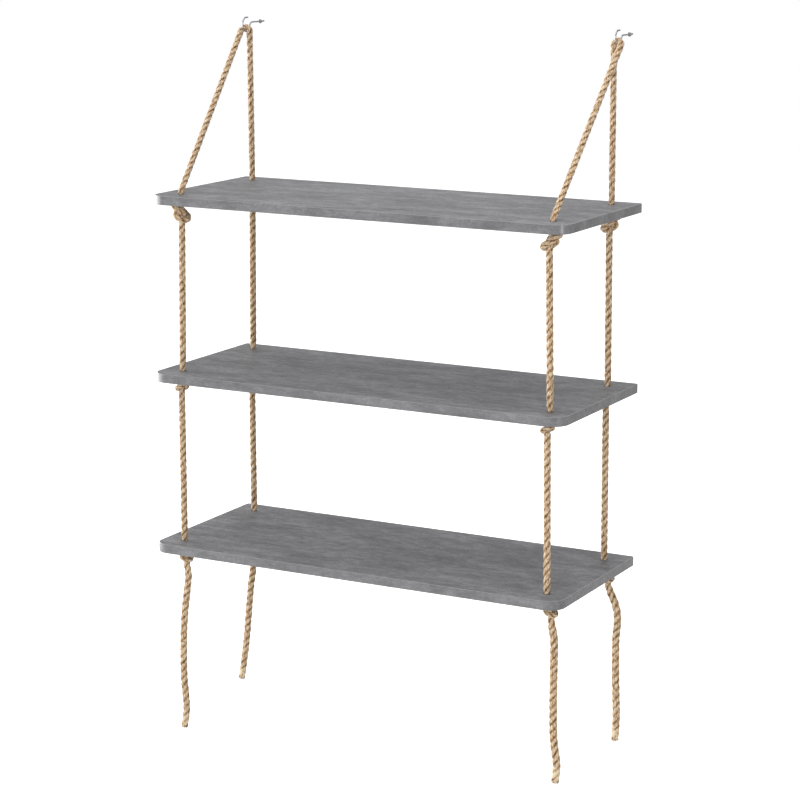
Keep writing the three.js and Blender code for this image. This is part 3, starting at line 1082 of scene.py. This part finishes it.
def turned(profile, count):
    """Solid turned about the Y axis from a profile of radius and Y."""
    bm = bmesh.new()
    verts = [bm.verts.new((radius, y, 0)) for radius, y in profile]
    edges = [bm.edges.new(pair) for pair in zip(verts, verts[1:])]
    bmesh.ops.spin(
        bm, geom=[*verts, *edges], cent=(0, 0, 0), axis=(0, 1, 0), angle=2 * math.pi,
        steps=count, use_merge=True, use_duplicate=False,
    )
    bmesh.ops.remove_doubles(bm, verts=bm.verts, dist=1e-4)
    bmesh.ops.recalc_face_normals(bm, faces=bm.faces)
    return bm


def thread(low, high, pitch, root, crest):
    """Ridge of a screw's thread, one profile swept about the Y axis."""
    bm = bmesh.new()
    half = 0.36 * pitch
    profile = ((root, low - half, 0), (crest, low, 0), (root, low + half, 0))
    verts = [bm.verts.new(point) for point in profile]
    edges = [bm.edges.new((verts[i], verts[(i + 1) % 3])) for i in range(3)]
    turns = (high - low) / pitch
    steps = int(20 * turns)
    bmesh.ops.spin(
        bm, geom=[*verts, *edges], cent=(0, 0, 0), axis=(0, 1, 0),
        dvec=(0, (high - low) / steps, 0), angle=2 * math.pi * turns, steps=steps,
        use_duplicate=False,
    )
    close(bm)
    return bm


class SHELF_OT_hooks(bpy.types.Operator):
    """Make the two wire hooks with their collars and screws"""

    bl_idname = "shelf.hooks"
    bl_label = "Wall hooks"

    def execute(self, context):
        settings = context.scene.shelf_hooks
        for side, sign in SIDES.items():
            wire = bent_wire(hook_line(), WIRE_RADIUS, settings.wire_points)
            collar = turned(SCREW_PROFILE, 32)
            ridge = thread(
                low=1.0, high=9.6, pitch=settings.thread_pitch / MM, root=0.7, crest=1.09
            )
            bm = bmesh.new()
            for part, slot in ((wire, 0), (collar, 1), (ridge, 1)):
                for face in part.faces:
                    face.material_index = slot
                join(bm, part)
            bmesh.ops.translate(bm, verts=bm.verts, vec=(sign * HOOK_X, 0, 0))
            bmesh.ops.scale(bm, verts=bm.verts, vec=(MM, MM, MM))
            piece = finished(f"{side}_screw_hook", bm, zinc_wire(), collar_steel())
            piece.data.set_sharp_from_angle(angle=math.radians(40))
            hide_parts(f"{side}_wall_hook")
            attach(piece, "hooks")
        return {"FINISHED"}


# Stage


def add_light(name, place, target, size, power):
    """Soft square light that looks at a point."""
    lamp = bpy.data.lights.new(name, "AREA")
    lamp.shape, lamp.size, lamp.size_y, lamp.energy = "RECTANGLE", *size, power
    light = bpy.data.objects.new(name, lamp)
    way = Vector(target) - Vector(place)
    turn = way.to_track_quat("-Z", "Y").to_matrix().to_4x4()
    light.matrix_world = Matrix.Translation(place) @ turn
    bpy.context.collection.objects.link(light)


def photo_camera():
    """Camera at the photograph's angle."""
    camera = bpy.data.cameras.new("Camera")
    camera.lens, camera.sensor_width, camera.shift_y = LENS, SENSOR, CAMERA_SHIFT
    camera.clip_start, camera.clip_end = 0.05, 60.0
    yaw, pitch, roll = (math.radians(v) for v in CAMERA_TURN)
    right = Vector((math.cos(yaw), math.sin(yaw), 0))
    ahead = Vector((
        -math.sin(yaw) * math.cos(pitch), math.cos(yaw) * math.cos(pitch), -math.sin(pitch),
    ))
    above = right.cross(ahead)
    across = right * math.cos(roll) + above * math.sin(roll)
    upward = above * math.cos(roll) - right * math.sin(roll)
    turn = Matrix((across, upward, -ahead)).transposed().to_4x4()
    eye = bpy.data.objects.new("Camera", camera)
    eye.matrix_world = Matrix.Translation(Vector(CAMERA_PLACE) * MM) @ turn
    bpy.context.collection.objects.link(eye)
    return eye


class SHELF_OT_stage(bpy.types.Operator):
    """Set up the floor, the soft studio light and the camera"""

    bl_idname = "shelf.stage"
    bl_label = "Stage"

    def execute(self, context):
        settings = context.scene.shelf_stage
        bm = bmesh.new()
        bmesh.ops.create_grid(bm, x_segments=1, y_segments=1, size=9.0)
        bmesh.ops.translate(bm, verts=bm.verts, vec=(0, 0, -settings.floor_drop))
        # Opal acrylic lit from below. It looks white, but its light hardly reaches the shelf.
        material, tree, shader = new_material("Lit opal acrylic floor")
        path = add_node(tree, "ShaderNodeLightPath")
        glow = mapped(tree, path.outputs["Is Camera Ray"], 0.0, 1.0, 0.1, 0.9)
        white = linear("#FFFFFF")
        feed(tree, shader, {
            "Base Color": settings.floor, "Roughness": 0.8,
            "Emission Color": white, "Emission Strength": glow,
        })
        finished("floor", bm, material, smooth=False)

        world = bpy.data.worlds.new("Studio")
        context.scene.world = world
        world.use_nodes = True
        tree = world.node_tree
        tree.nodes.clear()
        path = add_node(tree, "ShaderNodeLightPath")
        seen = add_node(tree, "ShaderNodeBackground", {"Color": white, "Strength": 1.0})
        # The room is a little darker on the right, as beside a dark flag.
        way = add_node(tree, "ShaderNodeTexCoord").outputs["Generated"]
        axes = add_node(tree, "ShaderNodeSeparateXYZ", {"Vector": way})
        flag = mapped(tree, axes.outputs["X"], -0.2, 1.0, 0.66, 0.05)
        given = add_node(tree, "ShaderNodeBackground", {"Color": white, "Strength": flag})
        mixed = add_node(
            tree, "ShaderNodeMixShader",
            {0: path.outputs["Is Camera Ray"], 1: given.outputs[0], 2: seen.outputs[0]},
        )
        add_node(tree, "ShaderNodeOutputWorld", {"Surface": mixed.outputs[0]})

        for name, place, target, size, power in (
            ("left", (-4.0, -0.1, -0.05), (0, -0.1, -0.05), (6.0, 2.5), settings.key),
            ("right", (2.5, -1.25, -0.35), (0.3, -0.25, -0.35), (0.1, 0.8), settings.rim),
            ("top", (0.2, -0.4, 2.0), (0, -0.126, -0.3), (2.2, 2.2), settings.top),
            ("front", (1.3, -3.2, 0.8), (0, -0.126, -0.4), (2.0, 2.0), settings.front),
        ):
            add_light(f"{name}_soft_light", place, target, size, power)

        context.scene.camera = photo_camera()
        context.scene.view_settings.view_transform = "Standard"
        return {"FINISHED"}


class SHELF_PT_parts(bpy.types.Panel):
    """Lists the parts of the shelf and their settings"""

    bl_idname = "SHELF_PT_parts"
    bl_label = "Rope shelf"
    bl_space_type = "VIEW_3D"
    bl_region_type = "UI"
    bl_category = "Rope shelf"

    def draw(self, context):
        for operator in OPERATORS:
            self.layout.operator(operator.bl_idname)
        for group, kind in GROUPS.items():
            box = self.layout.box()
            for name in kind.__annotations__:
                box.prop(getattr(context.scene, group), name)


GROUPS = {
    "shelf_boards": BoardSettings,
    "shelf_rope": RopeSettings,
    "shelf_hooks": HookSettings,
    "shelf_stage": StageSettings,
}
OPERATORS = (
    SHELF_OT_stage,
    SHELF_OT_hooks,
    SHELF_OT_boards,
    SHELF_OT_edge_bands,
    SHELF_OT_ropes_over_hooks,
    SHELF_OT_sling_legs,
    SHELF_OT_knots,
    SHELF_OT_rope_stretches,
    SHELF_OT_free_ends,
)


def register():
    """Register the settings, operators and panel."""
    for kind in (*GROUPS.values(), *OPERATORS, SHELF_PT_parts):
        bpy.utils.register_class(kind)
    for name, kind in GROUPS.items():
        setattr(bpy.types.Scene, name, PointerProperty(type=kind))


def unregister():
    """Take the panel, operators and settings away again."""
    for name in GROUPS:
        delattr(bpy.types.Scene, name)
    for kind in reversed((*GROUPS.values(), *OPERATORS, SHELF_PT_parts)):
        bpy.utils.unregister_class(kind)


def main():
    """Build the whole shelf."""
    register()
    bpy.ops.shelf.stage()
    bpy.ops.shelf.hooks()
    bpy.ops.shelf.boards()
    bpy.ops.shelf.edge_bands()
    bpy.ops.shelf.ropes_over_hooks()
    bpy.ops.shelf.sling_legs()
    bpy.ops.shelf.knots()
    bpy.ops.shelf.rope_stretches()
    bpy.ops.shelf.free_ends()


if __name__ == "__main__":
    main()
